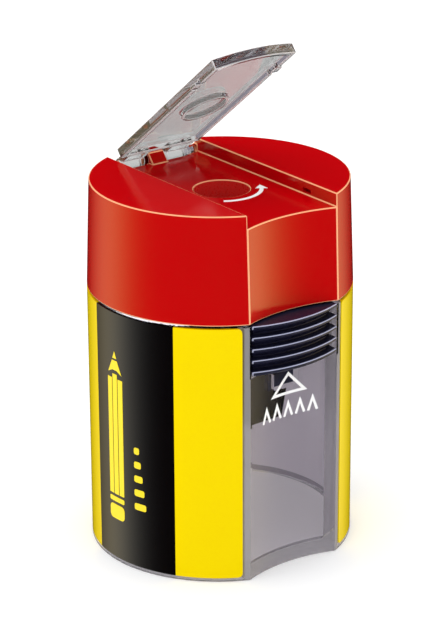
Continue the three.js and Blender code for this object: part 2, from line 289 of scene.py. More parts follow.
def round_edges(obj, width, segments=3, edge_slot=-1, angle=32):
    tidy_faces(obj)
    while len(obj.data.materials) <= edge_slot:
        obj.data.materials.append(None)
    bevel = obj.modifiers.new("edges", "BEVEL")
    bevel.width = width
    bevel.segments = segments
    bevel.limit_method = "ANGLE"
    bevel.angle_limit = math.radians(angle)
    bevel.use_clamp_overlap = False
    bevel.miter_outer = "MITER_ARC"
    bevel.material = edge_slot
    return settle(obj)


def finished(obj, name, body, materials, replaces=(), smooth=38):
    """Scales a piece to metres, shades it and hangs it on its body."""
    obj.name = obj.data.name = name
    kept = [polygon.material_index for polygon in obj.data.polygons]
    obj.data.materials.clear()
    for material in materials:
        obj.data.materials.append(material)
    obj.data.polygons.foreach_set("material_index", [min(i, len(materials) - 1) for i in kept])
    obj.data.transform(Matrix.Scale(MM, 4))
    obj.data.polygons.foreach_set("use_smooth", [True] * len(obj.data.polygons))
    obj.data.set_sharp_from_angle(angle=math.radians(smooth))
    shade = obj.modifiers.new("shading", "WEIGHTED_NORMAL")
    shade.keep_sharp = True
    shade.weight = 60
    settle(obj)
    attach(obj, body)
    if replaces:
        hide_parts(*replaces)
    return obj


# ---- Materials ----


def tone(red, green, blue):
    """A display colour, 0 to 255, as the linear colour that nodes use."""
    linear = [
        (v / 255 / 12.92) if v <= 10 else ((v / 255 + 0.055) / 1.055) ** 2.4 for v in (red, green, blue)
    ]
    return (*linear, 1.0)


def new_group(name, inputs, outputs):
    group = bpy.data.node_groups.new(name, "ShaderNodeTree")
    for label, kind, value in inputs:
        socket = group.interface.new_socket(label, in_out="INPUT", socket_type=kind)
        socket.default_value = value
    for label, kind in outputs:
        group.interface.new_socket(label, in_out="OUTPUT", socket_type=kind)
    return group, group.nodes.new("NodeGroupInput"), group.nodes.new("NodeGroupOutput")


def feed(tree, item, socket):
    """Links another node's output to the socket, or sets a plain value."""
    if hasattr(item, "is_output"):
        tree.links.new(item, socket)
    else:
        socket.default_value = item


def add(tree, kind, **settings):
    node = tree.nodes.new(kind)
    for key, value in settings.items():
        setattr(node, key, value)
    return node


def noise_on(tree, place, scale, detail=2.0, roughness=0.5):
    node = add(tree, "ShaderNodeTexNoise")
    feed(tree, scale, node.inputs["Scale"])
    node.inputs["Detail"].default_value = detail
    node.inputs["Roughness"].default_value = roughness
    tree.links.new(place, node.inputs["Vector"])
    return node


def ranged(tree, value, low, high, to_low, to_high):
    node = add(tree, "ShaderNodeMapRange")
    tree.links.new(value, node.inputs["Value"])
    for label, item in (("From Min", low), ("From Max", high), ("To Min", to_low), ("To Max", to_high)):
        feed(tree, item, node.inputs[label])
    return node.outputs["Result"]


def math_of(tree, first, second, operation="ADD"):
    node = add(tree, "ShaderNodeMath", operation=operation)
    for socket, item in zip(node.inputs, (first, second)):
        feed(tree, item, socket)
    return node.outputs[0]


def mixed(tree, share, first, second):
    node = add(tree, "ShaderNodeMix", data_type="RGBA")
    share_input, first_input, second_input, color_output = 0, 6, 7, 2
    for index, item in ((share_input, share), (first_input, first), (second_input, second)):
        feed(tree, item, node.inputs[index])
    return node.outputs[color_output]


def bump_on(tree, height, strength, distance):
    bump = add(tree, "ShaderNodeBump")
    bump.inputs["Distance"].default_value = distance
    feed(tree, strength, bump.inputs["Strength"])
    tree.links.new(height, bump.inputs["Height"])
    return bump.outputs["Normal"]


def grouped(tree, group, values):
    """A use of a shader group, with its inputs set in their own order."""
    node = add(tree, "ShaderNodeGroup", node_tree=group)
    for socket, value in zip(node.inputs, values):
        socket.default_value = value
    return node


def moulded_skin_group():
    """Spark-eroded plastic skin: fine grain, soft flow mottling and uneven gloss."""
    group, given, result = new_group(
        "moulded_skin",
        [
            ("Color", "NodeSocketColor", (0.5, 0.5, 0.5, 1)),
            ("Mottle Color", "NodeSocketColor", (0.4, 0.4, 0.4, 1)),
            ("Mottle", "NodeSocketFloat", 0.2),
            ("Grain Size", "NodeSocketFloat", 5000.0),
            ("Grain Depth", "NodeSocketFloat", 0.1),
            ("Roughness", "NodeSocketFloat", 0.4),
            ("Roughness Spread", "NodeSocketFloat", 0.06),
        ],
        [("Color", "NodeSocketColor"), ("Roughness", "NodeSocketFloat"), ("Normal", "NodeSocketVector")],
    )
    place = add(group, "ShaderNodeTexCoord").outputs["Object"]
    flow = noise_on(group, place, 110.0, 3.0, 0.55)
    fine = noise_on(group, place, 2400.0, 2.0, 0.6)
    grain = noise_on(group, place, given.outputs["Grain Size"], 2.0, 0.6)
    patches = ranged(group, flow.outputs["Fac"], 0.35, 0.75, 0.0, 1.0)
    speckle = ranged(group, fine.outputs["Fac"], 0.45, 0.75, 0.0, 1.0)
    share = math_of(group, math_of(group, patches, speckle), 0.5, "MULTIPLY")
    share = math_of(group, share, given.outputs["Mottle"], "MULTIPLY")
    color = mixed(group, share, given.outputs["Color"], given.outputs["Mottle Color"])
    group.links.new(color, result.inputs["Color"])
    swing = ranged(group, fine.outputs["Fac"], 0.3, 0.7, -1.0, 1.0)
    swing = math_of(group, swing, given.outputs["Roughness Spread"], "MULTIPLY")
    group.links.new(math_of(group, given.outputs["Roughness"], swing), result.inputs["Roughness"])
    normal = bump_on(group, grain.outputs["Fac"], given.outputs["Grain Depth"], 0.00004)
    group.links.new(normal, result.inputs["Normal"])
    return group


def handling_marks_group():
    """Hairline scuffs from handling, as a roughness to add and a height."""
    group, given, result = new_group(
        "handling_marks",
        [("Density", "NodeSocketFloat", 0.5), ("Amount", "NodeSocketFloat", 0.1)],
        [("Roughness", "NodeSocketFloat"), ("Height", "NodeSocketFloat")],
    )
    place = add(group, "ShaderNodeTexCoord").outputs["Object"]
    lines = []
    for turn in (0.5, 2.1):
        stretch = add(group, "ShaderNodeMapping")
        stretch.inputs["Rotation"].default_value = (turn, turn * 0.7, turn * 1.3)
        stretch.inputs["Scale"].default_value = (40.0, 1500.0, 1500.0)
        group.links.new(place, stretch.inputs["Vector"])
        streaks = noise_on(group, stretch.outputs["Vector"], 1.0, 2.0, 0.6)
        lines.append(ranged(group, streaks.outputs["Fac"], 0.66, 0.72, 0.0, 1.0))
    marks = math_of(group, lines[0], lines[1], "MAXIMUM")
    marks = math_of(group, marks, given.outputs["Density"], "MULTIPLY")
    group.links.new(math_of(group, marks, given.outputs["Amount"], "MULTIPLY"), result.inputs["Roughness"])
    group.links.new(math_of(group, marks, -1.0, "MULTIPLY"), result.inputs["Height"])
    return group


def clear_flow_group():
    """Faint ripples and flow lines in clear moulded plastic."""
    group, given, result = new_group(
        "clear_flow",
        [
            ("Ripple Size", "NodeSocketFloat", 160.0),
            ("Ripple", "NodeSocketFloat", 0.1),
            ("Roughness", "NodeSocketFloat", 0.03),
            ("Roughness Spread", "NodeSocketFloat", 0.02),
        ],
        [("Roughness", "NodeSocketFloat"), ("Normal", "NodeSocketVector")],
    )
    place = add(group, "ShaderNodeTexCoord").outputs["Object"]
    ripple = noise_on(group, place, given.outputs["Ripple Size"], 1.5, 0.4)
    haze = noise_on(group, place, 700.0, 3.0, 0.6)
    swing = ranged(group, haze.outputs["Fac"], 0.35, 0.7, 0.0, 1.0)
    swing = math_of(group, swing, given.outputs["Roughness Spread"], "MULTIPLY")
    group.links.new(math_of(group, given.outputs["Roughness"], swing), result.inputs["Roughness"])
    normal = bump_on(group, ripple.outputs["Fac"], given.outputs["Ripple"], 0.0002)
    group.links.new(normal, result.inputs["Normal"])
    return group


SKIN = moulded_skin_group()
MARKS = handling_marks_group()
CLEAR = clear_flow_group()


def principled(name, **values):
    material = bpy.data.materials.new(name)
    material.use_nodes = True
    shader = material.node_tree.nodes["Principled BSDF"]
    for label, value in values.items():
        shader.inputs[label.replace("_", " ")].default_value = value
    return material, material.node_tree, shader


def moulded(name, color, mottle_color, mottle=0.3, grain=5200.0, depth=0.12, roughness=0.38,
            spread=0.06, marks=0.0, **values):
    material, tree, shader = principled(name, **values)
    skin = grouped(tree, SKIN, (color, mottle_color, mottle, grain, depth, roughness, spread))
    tree.links.new(skin.outputs["Color"], shader.inputs["Base Color"])
    rough = skin.outputs["Roughness"]
    if marks:
        scuffs = grouped(tree, MARKS, (marks, 0.22))
        rough = math_of(tree, rough, scuffs.outputs["Roughness"])
    tree.links.new(rough, shader.inputs["Roughness"])
    tree.links.new(skin.outputs["Normal"], shader.inputs["Normal"])
    return material


def clear_plastic(name, color, ripple=0.08, ripple_size=160.0, roughness=0.03, spread=0.02,
                  transmission=1.0, **values):
    material, tree, shader = principled(name, **values)
    shader.inputs["Base Color"].default_value = color
    shader.inputs["Transmission Weight"].default_value = transmission
    flow = grouped(tree, CLEAR, (ripple_size, ripple, roughness, spread))
    tree.links.new(flow.outputs["Roughness"], shader.inputs["Roughness"])
    tree.links.new(flow.outputs["Normal"], shader.inputs["Normal"])
    return material


red_plastic = moulded(
    "cap_red_plastic", tone(187, 0, 8), tone(171, 0, 6), mottle=0.2, depth=0.14, roughness=0.12,
    spread=0.03, marks=0.15, Specular_IOR_Level=0.5, Specular_Tint=(0.6, 0.8, 0.27, 1.0), IOR=1.45,
)
# Painted highlight: a pale orange-red for the cap's rounded edges, in place of the bright lines light draws
# along them.
cap_edge_highlight = moulded(
    "cap_edge_painted_highlight", tone(250, 178, 132), tone(236, 140, 96), mottle=0.5, depth=0.05, roughness=0.25,
    spread=0.05, Specular_IOR_Level=0.5, IOR=1.5,
)
# Painted light: the pencil hole's walls are a lighter orange-red than the cap, so the deep bore doesn't fall
# dark.
hole_red_lightened = moulded(
    "cap_hole_painted_light", tone(214, 40, 36), tone(180, 24, 22), mottle=0.4, depth=0.1, roughness=0.3,
    Specular_IOR_Level=0.3, IOR=1.5,
)
smoke_tub = clear_plastic(
    "tub_smoke_clear", (0.97, 0.95, 0.975, 1.0), roughness=0.02, spread=0.02, IOR=1.16,
    Specular_Tint=(0.35, 0.33, 0.36, 1.0),
)
# Painted shade: a dark smoke on the inside fillet round the tub's floor, drawing the dark line that light
# makes there.
floor_fillet_shade = clear_plastic(
    "tub_fillet_painted_shade", (0.32, 0.3, 0.34, 1.0), ripple=0.2, ripple_size=300.0, roughness=0.1,
    spread=0.05, IOR=1.16,
)
# Painted shade: a half-clear, slightly rough grey for the upright corner strips beside the hollow faces, in
# place of the light and shade of the clear corners.
corner_grey_shade = clear_plastic(
    "tub_corner_painted_grey", (0.42, 0.4, 0.4, 1.0), ripple=0.3, ripple_size=300.0, roughness=0.3,
    spread=0.1, transmission=0.45, IOR=1.16,
)
frosted_base = clear_plastic(
    "tub_frosted_base", (0.95, 0.93, 0.96, 1.0), ripple=0.4, ripple_size=420.0, roughness=0.4,
    spread=0.1, IOR=1.16,
)
smoke_lid = clear_plastic(
    "lid_smoke_clear", (0.44, 0.45, 0.445, 1.0), ripple=0.05, roughness=0.03, spread=0.02, IOR=1.24,
    Specular_Tint=(0.7, 0.7, 0.7, 1.0),
)
# Painted shade: a darker smoke for the lid's upright rim faces, in place of the dark outlines that light
# draws in clear plastic.
lid_rim_shade = clear_plastic(
    "lid_rim_painted_shade", (0.2, 0.19, 0.22, 1.0), ripple=0.05, roughness=0.05, spread=0.02, IOR=1.36,
)
# Painted highlight: a pale, half-clear colour for the lid's rounded edges, in place of bright lines along
# them.
lid_edge_highlight = clear_plastic(
    "lid_edge_painted_highlight", (0.8, 0.79, 0.8, 1.0), ripple=0.05, roughness=0.2, spread=0.05,
    transmission=0.55, IOR=1.4,
)
navy_plastic = moulded(
    "carrier_navy_plastic", tone(22, 21, 34), tone(30, 30, 48), mottle=0.4, depth=0.15, roughness=0.42,
    Specular_IOR_Level=0.35,
)
grip_plastic = moulded(
    "grip_navy_plastic", tone(27, 27, 50), tone(38, 39, 68), mottle=0.4, depth=0.2, roughness=0.42,
    marks=0.2, Specular_IOR_Level=0.25,
)
# Painted highlight: pale blue-grey for the ribs' rounded edges, in place of light catching them.
grip_edge_highlight = moulded(
    "grip_edge_painted_highlight", tone(176, 180, 206), tone(140, 143, 170), mottle=0.5, depth=0.1, roughness=0.4,
    Specular_IOR_Level=0.3,
)
black_casting = moulded(
    "sharpener_black_casting", tone(14, 12, 15), tone(24, 22, 26), mottle=0.5, grain=3600.0, depth=0.3,
    roughness=0.5, spread=0.1, marks=0.6, Specular_IOR_Level=0.2,
)
casting_edge = moulded(
    "sharpener_worn_edge", tone(92, 90, 94), tone(50, 48, 52), mottle=0.7, depth=0.2, roughness=0.4,
    Metallic=0.6,
)
label_yellow = moulded(
    "label_yellow_film", tone(241, 213, 0), tone(235, 201, 2), mottle=0.4, grain=1800.0, depth=0.02,
    roughness=0.13, spread=0.03, marks=0.15, Specular_IOR_Level=0.4, Specular_Tint=(1.0, 0.9, 0.3, 1.0),
)
label_black = moulded(
    "label_black_film", tone(7, 4, 4), tone(14, 11, 10), mottle=0.4, grain=1800.0, depth=0.02,
    roughness=0.13, spread=0.03, marks=0.15, Specular_IOR_Level=0.65, Specular_Tint=(0.4, 0.52, 1.0, 1.0),
)
# The labels' inner side is white film; its faint glow is painted light that brightens the tub's inside seen
# through the windows.
label_white_back_glow = moulded(
    "label_white_back_painted_glow", tone(250, 247, 252), tone(244, 241, 247), mottle=0.4, depth=0.05, roughness=0.6,
    Emission_Color=(0.93, 0.87, 0.96, 1.0), Emission_Strength=0.07,
)
yellow_ink = moulded(
    "print_yellow_ink", tone(250, 226, 20), tone(240, 208, 20), mottle=0.4, depth=0.03, roughness=0.35,
)
white_ink = moulded(
    "print_white_ink", tone(250, 250, 250), tone(232, 232, 236), mottle=0.4, depth=0.05, roughness=0.45,
)


def ground_steel(name, color, roughness, across):
    """Steel with fine grinding lines."""
    material, tree, shader = principled(name, Metallic=1.0)
    place = add(tree, "ShaderNodeTexCoord").outputs["Object"]
    stretch = add(tree, "ShaderNodeMapping")
    stretch.inputs["Scale"].default_value = across
    tree.links.new(place, stretch.inputs["Vector"])
    lines = noise_on(tree, stretch.outputs["Vector"], 1.0, 4.0, 0.7)
    cloud = noise_on(tree, place, 260.0, 3.0, 0.6)
    darker = (color[0] * 0.72, color[1] * 0.72, color[2] * 0.74, 1.0)
    tree.links.new(mixed(tree, cloud.outputs["Fac"], color, darker), shader.inputs["Base Color"])
    gloss = ranged(tree, lines.outputs["Fac"], 0.3, 0.7, roughness - 0.08, roughness + 0.12)
    tree.links.new(gloss, shader.inputs["Roughness"])
    tree.links.new(bump_on(tree, lines.outputs["Fac"], 0.25, 0.00002), shader.inputs["Normal"])
    return material


blade_steel = ground_steel("blade_ground_steel", tone(196, 198, 202), 0.3, (6000.0, 200.0, 120.0))
screw_steel = ground_steel("screw_plated_steel", tone(205, 205, 206), 0.24, (900.0, 900.0, 900.0))

# ---- Cap ----

HOOK_HALF = 1.45
LUG_DROP = 0.55
RELIEF_RADIUS = 1.45
GUIDE_WALL = 1.4
POCKET_HALF = 0.95


def channel_hook():
    back = HINGE_Y + BORE_RADIUS + 0.44
    low = HINGE_Z - BORE_RADIUS - LUG_DROP
    front_wall = HINGE_Y - 1.27 - CAP_WALL
    profile = [
        (HINGE_Y - 2.36, CHANNEL_Z), (front_wall, CHANNEL_Z - 0.6), (front_wall, low), (back, low),
        (back, CHANNEL_Z + 1.6), (HINGE_Y - 1.03, CHANNEL_Z + 1.6),
    ]
    return slab(profile, -HOOK_HALF, HOOK_HALF)


def hinge_lug(side):
    low = HINGE_Z - BORE_RADIUS - LUG_DROP
    near, far = span(side, FACE_HALF - 1.6, FACE_HALF + 0.5)
    lug = block((near, HINGE_Y - 0.6, low), (far, HINGE_Y + 0.4, CHANNEL_Z + 1.1))
    return keep_inside(lug, cap_oval_column(0.02, SEAM_Z, HEIGHT))


def make_cap():
    cap = body_column([(SEAM_Z, 0, 0), (50.0, 0, 0), (HEIGHT, 0, 0)], cap=True)
    chamfer = 0.6
    inner = CAP_WALL + chamfer
    inside = body_column(
        [(SEAM_Z - 1, CAP_WALL, CAP_WALL), (ROOF_Z - chamfer, CAP_WALL, CAP_WALL), (ROOF_Z, inner, inner)],
        cap=True,
    )
    channel = wide_block(FACE_HALF, -TUB_HALF_Y - 1, TUB_HALF_Y + 1, CHANNEL_Z, HEIGHT + 1)
    cut(cap, inside, channel)
    cut(cap, *[cross_bar(RELIEF_RADIUS, *span(side, 1.8, 6.5), HINGE_Y, HINGE_Z) for side in (-1, 1)])
    guide_radius = HOLE_RADIUS + GUIDE_WALL
    guide = turned([(guide_radius, PLATE_TOP + GAP), (guide_radius, ROOF_Z + 0.5)], y=HOLE_Y)
    join(cap, guide, channel_hook(), hinge_lug(-1), hinge_lug(1))
    bore = turned(
        [
            (HOLE_RADIUS - 0.36, PLATE_TOP), (HOLE_RADIUS - 0.3, 50.6), (HOLE_RADIUS - 0.16, 50.9),
            (HOLE_RADIUS - 0.12, 53.3), (HOLE_RADIUS, 53.6), (HOLE_RADIUS, CHANNEL_Z + 1),
        ],
        y=HOLE_Y,
    )
    # The bore's faces take slot 2, the lighter painted-light red.
    bore_slot = 2
    for polygon in bore.data.polygons:
        polygon.material_index = bore_slot
    slots = [red_plastic, cap_edge_highlight, hole_red_lightened]
    for part in (bore, cap):
        for material in slots:
            part.data.materials.append(material)
    cut(cap, bore, cross_bar(BORE_RADIUS, -FACE_HALF + 0.4, FACE_HALF - 0.4, HINGE_Y, HINGE_Z))
    # The rounded edges take slot 1, the painted highlight colour.
    round_edges(cap, 0.16, 3, edge_slot=1)
    y = HINGE_Y + NUB_Y
    pockets = []
    for side in (1, -1):
        near, far = span(side, FACE_HALF - 1, FACE_HALF + 0.9)
        low, high = CHANNEL_Z + 0.35, CHANNEL_Z + 1.0
        pockets.append(block((near, y - POCKET_HALF, low), (far, y + POCKET_HALF, high)))
    cut(cap, *pockets)
    return finished(cap, "cap_shell", "head", slots, ["cap"])


# ---- Tub ----

SEAT_DEPTH, SEAT_EDGE = 0.55, 9.1
SPIGOT_INSET = 1.3
WINDOW_HALF = 8.3
FLOOR_TOP = 1.6
FROSTED_BASE, CORNER_SHADE, FLOOR_FILLET = 1, 2, 3


def label_seat(side):
    steps = 60
    outer, inner = [], []
    for inset, points in ((-1.0, outer), (SEAT_DEPTH, inner)):
        a, b = TUB_HALF_X - inset, TUB_HALF_Y - inset
        reach = math.acos(SEAT_EDGE / a)
        for i in range(steps + 1):
            t = -reach + 2 * reach * i / steps
            points.append((side * a * math.cos(t), side * b * math.sin(t)))
    outline = outer + inner[::-1]
    return loft([at_height(outline, z) for z in (0.3, SHOULDER_Z + 1)])


def make_tub():
    tub = body_column([(0, 0, 0), (20, 0, 0), (SHOULDER_Z, 0, 0)])
    join(tub, body_column([(z, SPIGOT_INSET, SPIGOT_INSET) for z in (SHOULDER_Z - 1, SPIGOT_TOP)]))
    room = body_column([
        (FLOOR_TOP, 2.75, 1.95), (1.68, 2.4, 1.6), (1.95, 2.12, 1.32), (2.4, 2.0, 1.2),
        (SPIGOT_TOP + 1, 2.0, 1.2),
    ])
    rim = body_column([(SHOULDER_Z - 1, 2.1, 1.2), (SPIGOT_TOP + 1, 2.1, 1.2)])
    windows = []
    for near, far in ((-TUB_HALF_Y - 1, 5 - FACE_Y), (FACE_Y - 5, TUB_HALF_Y + 1)):
        windows.append(wide_block(WINDOW_HALF, near, far, NOTCH_Z, SPIGOT_TOP + 1))
        windows.append(wide_block(CATCH_HALF, near, far, CATCH_BOTTOM, CATCH_TOP))
    cut(tub, room, rim, *windows, label_seat(-1), label_seat(1))
    round_edges(tub, 0.12, 2, angle=40)
    split_narrow_faces(tub)
    for polygon in tub.data.polygons:
        x, y, z = polygon.center
        underside = polygon.normal.z < -0.9 and z < 0.05
        outward = polygon.normal.x * x + polygon.normal.y * y > 0
        upright = abs(polygon.normal.z) < 0.3
        # at_corner picks the upright strips at the hollow faces' corners, which get the painted grey shade.
        at_corner = 8.25 < abs(x) < 9.5 and abs(y) > FACE_Y - 0.6 and outward and upright
        # at_fillet picks the inside fillet round the floor, which gets the painted dark shade line.
        at_fillet = 1.5 < z < 2.39 and 0.05 < polygon.normal.z < 0.98 and not outward
        if underside:
            polygon.material_index = FROSTED_BASE
        elif at_corner:
            polygon.material_index = CORNER_SHADE
        else:
            polygon.material_index = FLOOR_FILLET if at_fillet else 0
    slots = [smoke_tub, frosted_base, corner_grey_shade, floor_fillet_shade]
    return finished(tub, "tub", "base", slots, ["container"], smooth=12)


# ---- Labels: yellow and black film wrapped on the tub's sides ----

FILM_LOW, FILM_HIGH = 0.6, SHOULDER_Z - 0.2
FILM_EDGE = math.acos(9.4 / TUB_HALF_X)
FILM_CORNER = 0.7
FILM_BACK = -0.57
YELLOW, BLACK, BACK = 0, 1, 2
STRIPES = [
    (-FILM_EDGE, YELLOW), (math.radians(-12), BLACK), (math.radians(33.75), YELLOW), (FILM_EDGE, YELLOW),
]
SIDE_RADIUS = 20.4
INK_HEIGHT, INK_SINK, INK_CELL = 0.04, 0.002, 0.7


def on_tub(side, turn, z, lift=0.0):
    """A point on the tub's side. turn runs from the middle of the left side to the front."""
    x = -(TUB_HALF_X + lift) * math.cos(turn)
    y = -(TUB_HALF_Y + lift) * math.sin(turn)
    return (x, y, z) if side < 0 else (-x, -y, z)


def make_label(side, name, node):
    rows, steps = 12, 26
    columns = []
    for (start, slot), (stop, _) in zip(STRIPES, STRIPES[1:]):
        columns += [(start + (stop - start) * i / steps, slot) for i in range(steps)]
    columns.append((FILM_EDGE, YELLOW))
    for extra in (0.08, 0.22, 0.45, FILM_CORNER):
        turn = extra / SIDE_RADIUS
        columns += [(-FILM_EDGE + turn, YELLOW), (FILM_EDGE - turn, YELLOW)]
    columns.sort()
    bm = bmesh.new()
    fronts, backs = [], []
    for turn, _ in columns:
        edge = (FILM_EDGE - abs(turn)) * SIDE_RADIUS
        drop = FILM_CORNER - math.sqrt(max(0.0, FILM_CORNER ** 2 - max(0.0, FILM_CORNER - edge) ** 2))
        low, high = FILM_LOW + drop, FILM_HIGH - drop
        heights = [low + (high - low) * j / rows for j in range(rows + 1)]
        fronts.append([bm.verts.new(on_tub(side, turn, z)) for z in heights])
        backs.append([bm.verts.new(on_tub(side, turn, z, FILM_BACK)) for z in heights])
    for i in range(len(columns) - 1):
        slot = columns[i][1] if columns[i][0] < FILM_EDGE else YELLOW
        for j in range(rows):
            face = bm.faces.new((fronts[i][j], fronts[i + 1][j], fronts[i + 1][j + 1], fronts[i][j + 1]))
            face.material_index = slot
            face = bm.faces.new((backs[i][j + 1], backs[i + 1][j + 1], backs[i + 1][j], backs[i][j]))
            face.material_index = BACK
        for j in (0, rows):
            face = bm.faces.new((fronts[i][j], backs[i][j], backs[i + 1][j], fronts[i + 1][j]))
            face.material_index = slot
    for i in (0, len(columns) - 1):
        for j in range(rows):
            bm.faces.new((fronts[i][j], fronts[i][j + 1], backs[i][j + 1], backs[i][j]))
    bmesh.ops.recalc_face_normals(bm, faces=bm.faces)
    slots = [label_yellow, label_black, label_white_back_glow]
    return finished(mesh_object(bm, name), name, "base", slots, [node])


def printed(name, shapes, place, body, material):
    """Thin ink: flat outlines of (s, t) points, cut small enough to bend, laid by place(s, t, lift)."""
    bm = bmesh.new()
    for outline in shapes:
        flat = bmesh.new()
        flat.faces.new([flat.verts.new((s, t, 0)) for s, t in outline])
        for axis in (0, 1):
            values = [point[axis] for point in outline]
            level = math.floor(min(values) / INK_CELL) * INK_CELL + INK_CELL
            while level < max(values) - 1e-3:
                where = [0, 0, 0]
                normal = [0, 0, 0]
                where[axis], normal[axis] = level, 1
                everything = flat.verts[:] + flat.edges[:] + flat.faces[:]
                bmesh.ops.bisect_plane(flat, geom=everything, plane_co=where, plane_no=normal, dist=1e-4)
                level += INK_CELL
        bmesh.ops.remove_doubles(flat, verts=flat.verts, dist=1e-3)
        flat.verts.index_update()
        tops = [bm.verts.new(place(v.co.x, v.co.y, INK_HEIGHT)) for v in flat.verts]
        lows = [bm.verts.new(place(v.co.x, v.co.y, INK_SINK)) for v in flat.verts]
        for face in flat.faces:
            around = [v.index for v in face.verts]
            bm.faces.new([tops[i] for i in around])
            bm.faces.new([lows[i] for i in reversed(around)])
        for edge in flat.edges:
            if len(edge.link_faces) == 1:
                a, b = (v.index for v in edge.verts)
                bm.faces.new((tops[a], tops[b], lows[b], lows[a]))
        flat.free()
    bmesh.ops.recalc_face_normals(bm, faces=bm.faces)
    return finished(mesh_object(bm, name), name, body, [material])


def stroke(points, width, closed=False):
    """Outlines of a line of even width: one quadrilateral for each stretch, mitred at the bends."""
    count = len(points)
    offsets = []
    for i, point in enumerate(points):
        before = points[i - 1] if (i or closed) else None
        after = points[(i + 1) % count] if (i < count - 1 or closed) else None
        directions = []
        for a, b in ((before, point), (point, after)):
            if a is None or b is None:
                continue
            step = Vector((b[0] - a[0], b[1] - a[1]))
            directions.append(step.normalized())
        normals = [Vector((-d.y, d.x)) for d in directions]
        middle = sum(normals, Vector((0, 0))).normalized()
        offsets.append(middle * (width / 2 / max(0.35, middle.dot(normals[0]))))
    shapes = []
    for i in range(count if closed else count - 1):
        j = (i + 1) % count
        a, b = Vector(points[i]), Vector(points[j])
        corners = (a + offsets[i], a - offsets[i], b - offsets[j], b + offsets[j])
        shapes.append([tuple(corner) for corner in corners])
    return shapes


def rounded_bar(s0, t0, s1, t1, radius):
    outline = []
    for cx, cy, start in ((s1 - radius, t1 - radius, 0), (s0 + radius, t1 - radius, 90),
                          (s0 + radius, t0 + radius, 180), (s1 - radius, t0 + radius, 270)):
        for i in range(6):
            turn = math.radians(start + 90 * i / 5)
            outline.append((cx + radius * math.cos(turn), cy + radius * math.sin(turn)))
    return outline


def pencil_picture(middle, low, high, half):
    """A pencil that points up, in three long facets, with its point and its end cap."""
    shapes = []
    shoulder = high - 4.4
    for k in (-1, 0, 1):
        centre = middle + k * half * 0.7
        reach = half * 0.3
        top = shoulder + (0.0 if k else 0.7)
        left, right, bottom = centre - reach, centre + reach, low + 4.2
        shapes.append([(left, bottom), (right, bottom), (right, top), (left, top)])
    shapes.append(rounded_bar(middle - half, low + 2.9, middle + half, low + 3.7, 0.2))
    shapes.append(rounded_bar(middle - half, low, middle + half, low + 2.4, 0.7))
    shapes.append([
        (middle - half * 0.92, shoulder + 0.8), (middle - half * 0.3, shoulder + 1.35),
        (middle + half * 0.3, shoulder + 1.35), (middle + half * 0.92, shoulder + 0.8),
        (middle + half * 0.34, high - 1.5), (middle - half * 0.34, high - 1.5),
    ])
    shapes.append([(middle - half * 0.27, high - 1.15), (middle + half * 0.27, high - 1.15), (middle, high)])
    return shapes


def label_pictures():
    shapes = pencil_picture(0.9, 7.2, 35.0, 1.75)
    for k in range(5):
        low = 10.2 + k * 2.3
        shapes.append(rounded_bar(4.9, low, 7.1 - 0.3 * k, low + 1.1, 0.3))
    return shapes


# ---- Press grips ----

RIBS = 5
RIB_PITCH = 1.81
RIB_DEPTH = 1.4
RIB_HALF = 8.0
CORE_HALF = 7.1
TONGUE_HALF, HANGER_HALF = 2.6, 6.0
TONGUE_DROP = 4.8
GRIP_STEPS = 36


def grip_ring(z, depth, half, back):
    """The grip's outline at one height: a curved front, depth behind the tub's oval, and a flat back."""
    a, b = TUB_HALF_X - depth, TUB_HALF_Y - depth
    xs = [half * (2 * i / GRIP_STEPS - 1) for i in range(GRIP_STEPS + 1)]
    front = [(x, -b * math.sqrt(1 - (x / a) ** 2)) for x in xs]
    return at_height(front + [(half, back), (-half, back)], z)


def make_grip(name, node, body, turned_round):
    back = -(FACE_Y - 3.0)
    core = (GRIP_BOTTOM + 0.15, GRIP_TOP - 0.15)
    grip = loft([grip_ring(z, RIB_DEPTH, CORE_HALF, back) for z in core], name)
    ribs = []
    for i in range(RIBS):
        top = GRIP_TOP - i * RIB_PITCH
        low = (top - RIB_PITCH + 0.25, RIB_DEPTH + 0.05, 7.05)
        if i == RIBS - 1:
            low = (GRIP_BOTTOM, 0.35, 7.75)
        levels = [low, (top - 0.42, 0.02, RIB_HALF), (top, 0.0, RIB_HALF)]
        ribs.append(loft([grip_ring(*level, back - 0.3) for level in levels]))
    join(grip, *ribs)
    front = back - 1.0
    high, low = GRIP_BOTTOM + 1, GRIP_BOTTOM - TONGUE_DROP
    tongue = slab([(front, high), (back, high), (back, low), (front, low)], -TONGUE_HALF, TONGUE_HALF)
    hanger = wide_block(HANGER_HALF, front, back, GRIP_TOP - 1, PLATE_Z - GAP)
    join(grip, tongue, hanger)
    # The rounded edges take slot 1, the painted highlight; faces inside the tub's oval go back to plain
    # navy.
    round_edges(grip, 0.13, 2, edge_slot=1, angle=50)
    for polygon in grip.data.polygons:
        x, y, _ = polygon.center
        if math.hypot(x / (TUB_HALF_X - 0.5), y / (TUB_HALF_Y - 0.5)) < 1:
            polygon.material_index = 0
    if turned_round:
        grip.data.transform(Matrix.Rotation(math.pi, 4, "Z"))
    return finished(grip, name, body, [grip_plastic, grip_edge_highlight], [node])


# ---- Sharpener ----

POINT_ANGLE = math.radians(11.5)
CONE_RADIUS, CONE_DEPTH = 4.2, 19.5
BLADE_THICK = 0.6
SEAT_TOP = CONE_RADIUS - BLADE_THICK
BLADE_HALF, BLADE_HALF_LENGTH = 4.0, 11.5
BLADE_X = BLADE_HALF - 0.4
BLADE_MIDDLE = -0.9 - BLADE_HALF_LENGTH
BLADE_LIFT = 0.3
SCREW_HOLE = 1.5
SOCKET_HALF, SOCKET_WALL, SOCKET_DEPTH = 8.0, 1.2, 8.8
SOCKET_FRONT, SOCKET_BACK = 6.3, 6.6
WEDGE_HALF, WEDGE_TIP, WEDGE_LENGTH, WEDGE_THICK_HALF = 7.7, 6.7, 25.5, 6.0


